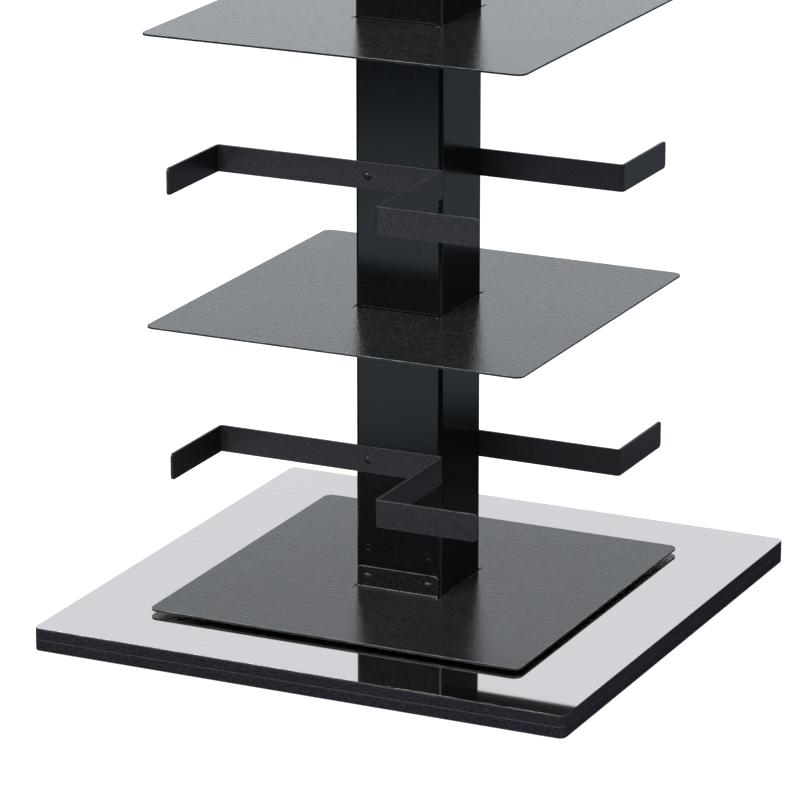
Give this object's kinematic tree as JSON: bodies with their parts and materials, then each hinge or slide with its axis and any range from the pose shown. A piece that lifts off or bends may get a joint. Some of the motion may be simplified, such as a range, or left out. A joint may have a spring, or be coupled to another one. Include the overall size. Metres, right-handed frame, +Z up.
{
  "type": "rotating display rack",
  "caption": "Free-standing turntable rack: a square column with flanged square plates and bent strip brackets that split each tier into bays, on a flat polished base.",
  "frame": {"origin": "centre of the square footprint, on the floor", "axes": "+Z up along the column and the turning axis; -Y is the face of the first bracket's long flat; +X to its right"},
  "size_m": [0.496, 0.496, 1.0482],
  "materials": {
    "board_black": "satin black lacquer",
    "polished_steel": "polished sheet with a very fine grain",
    "pad_felt": "pressed felt",
    "bearing_steel": "ground",
    "bearing_brass": "machined",
    "column_black": "satin black powder coat",
    "plate_black": "fine-textured satin black powder coat",
    "bracket_black": "fine-textured satin black powder coat",
    "foot_steel": "phosphated steel",
    "screw_black": "black oxide, slightly oiled",
    "zinc_steel": "bright zinc plate"
  },
  "bodies": {
    "base": {"base_lower_board": "board_black", "base_upper_board": "board_black", "base_top_sheet": "polished_steel", "glide_pads": "pad_felt", "board_screws": "zinc_steel", "lower_race": "bearing_steel", "lower_race_screws": "zinc_steel", "spindle_bolt": "zinc_steel", "spindle_clamp_washer": "zinc_steel", "spindle_clamp_nut": "zinc_steel", "thrust_washer": "zinc_steel", "lock_nut": "zinc_steel"},
    "ball_cage": {"ball_cage": "bearing_brass", "race_balls": "bearing_steel"},
    "rotor": {"upper_race": "bearing_steel", "upper_race_screws": "zinc_steel", "column_foot": "foot_steel", "foot_bush": "bearing_brass", "foot_screws": "column_black", "column_tube": "column_black", "column_cap": "column_black", "plate_0": "plate_black", "plate_1": "plate_black", "plate_2": "plate_black", "plate_3": "plate_black", "plate_4": "plate_black", "plate_0_screws": "screw_black", "plate_1_screws": "screw_black", "plate_2_screws": "screw_black", "plate_3_screws": "screw_black", "plate_4_screws": "screw_black", "bracket_front_1": "bracket_black", "bracket_front_2": "bracket_black", "bracket_front_3": "bracket_black", "bracket_front_4": "bracket_black", "bracket_back_1": "bracket_black", "bracket_back_2": "bracket_black", "bracket_back_3": "bracket_black", "bracket_back_4": "bracket_black", "bracket_screws_1": "screw_black", "bracket_screws_2": "screw_black", "bracket_screws_3": "screw_black", "bracket_screws_4": "screw_black", "bracket_nuts_1": "zinc_steel", "bracket_nuts_2": "zinc_steel", "bracket_nuts_3": "zinc_steel", "bracket_nuts_4": "zinc_steel"}
  },
  "joints": [
    {"name": "rotor_turn", "type": "hinge", "parent": "base", "child": "rotor", "pos_m": [0, 0, 0.0186], "axis": [0, 0, 1], "continuous": true},
    {"name": "cage_turn", "type": "hinge", "parent": "base", "child": "ball_cage", "pos_m": [0, 0, 0.0186], "axis": [0, 0, 1], "continuous": true}
  ],
  "couplings": [
    {"joint": "cage_turn", "follows": "rotor_turn", "ratio": 0.5}
  ]
}
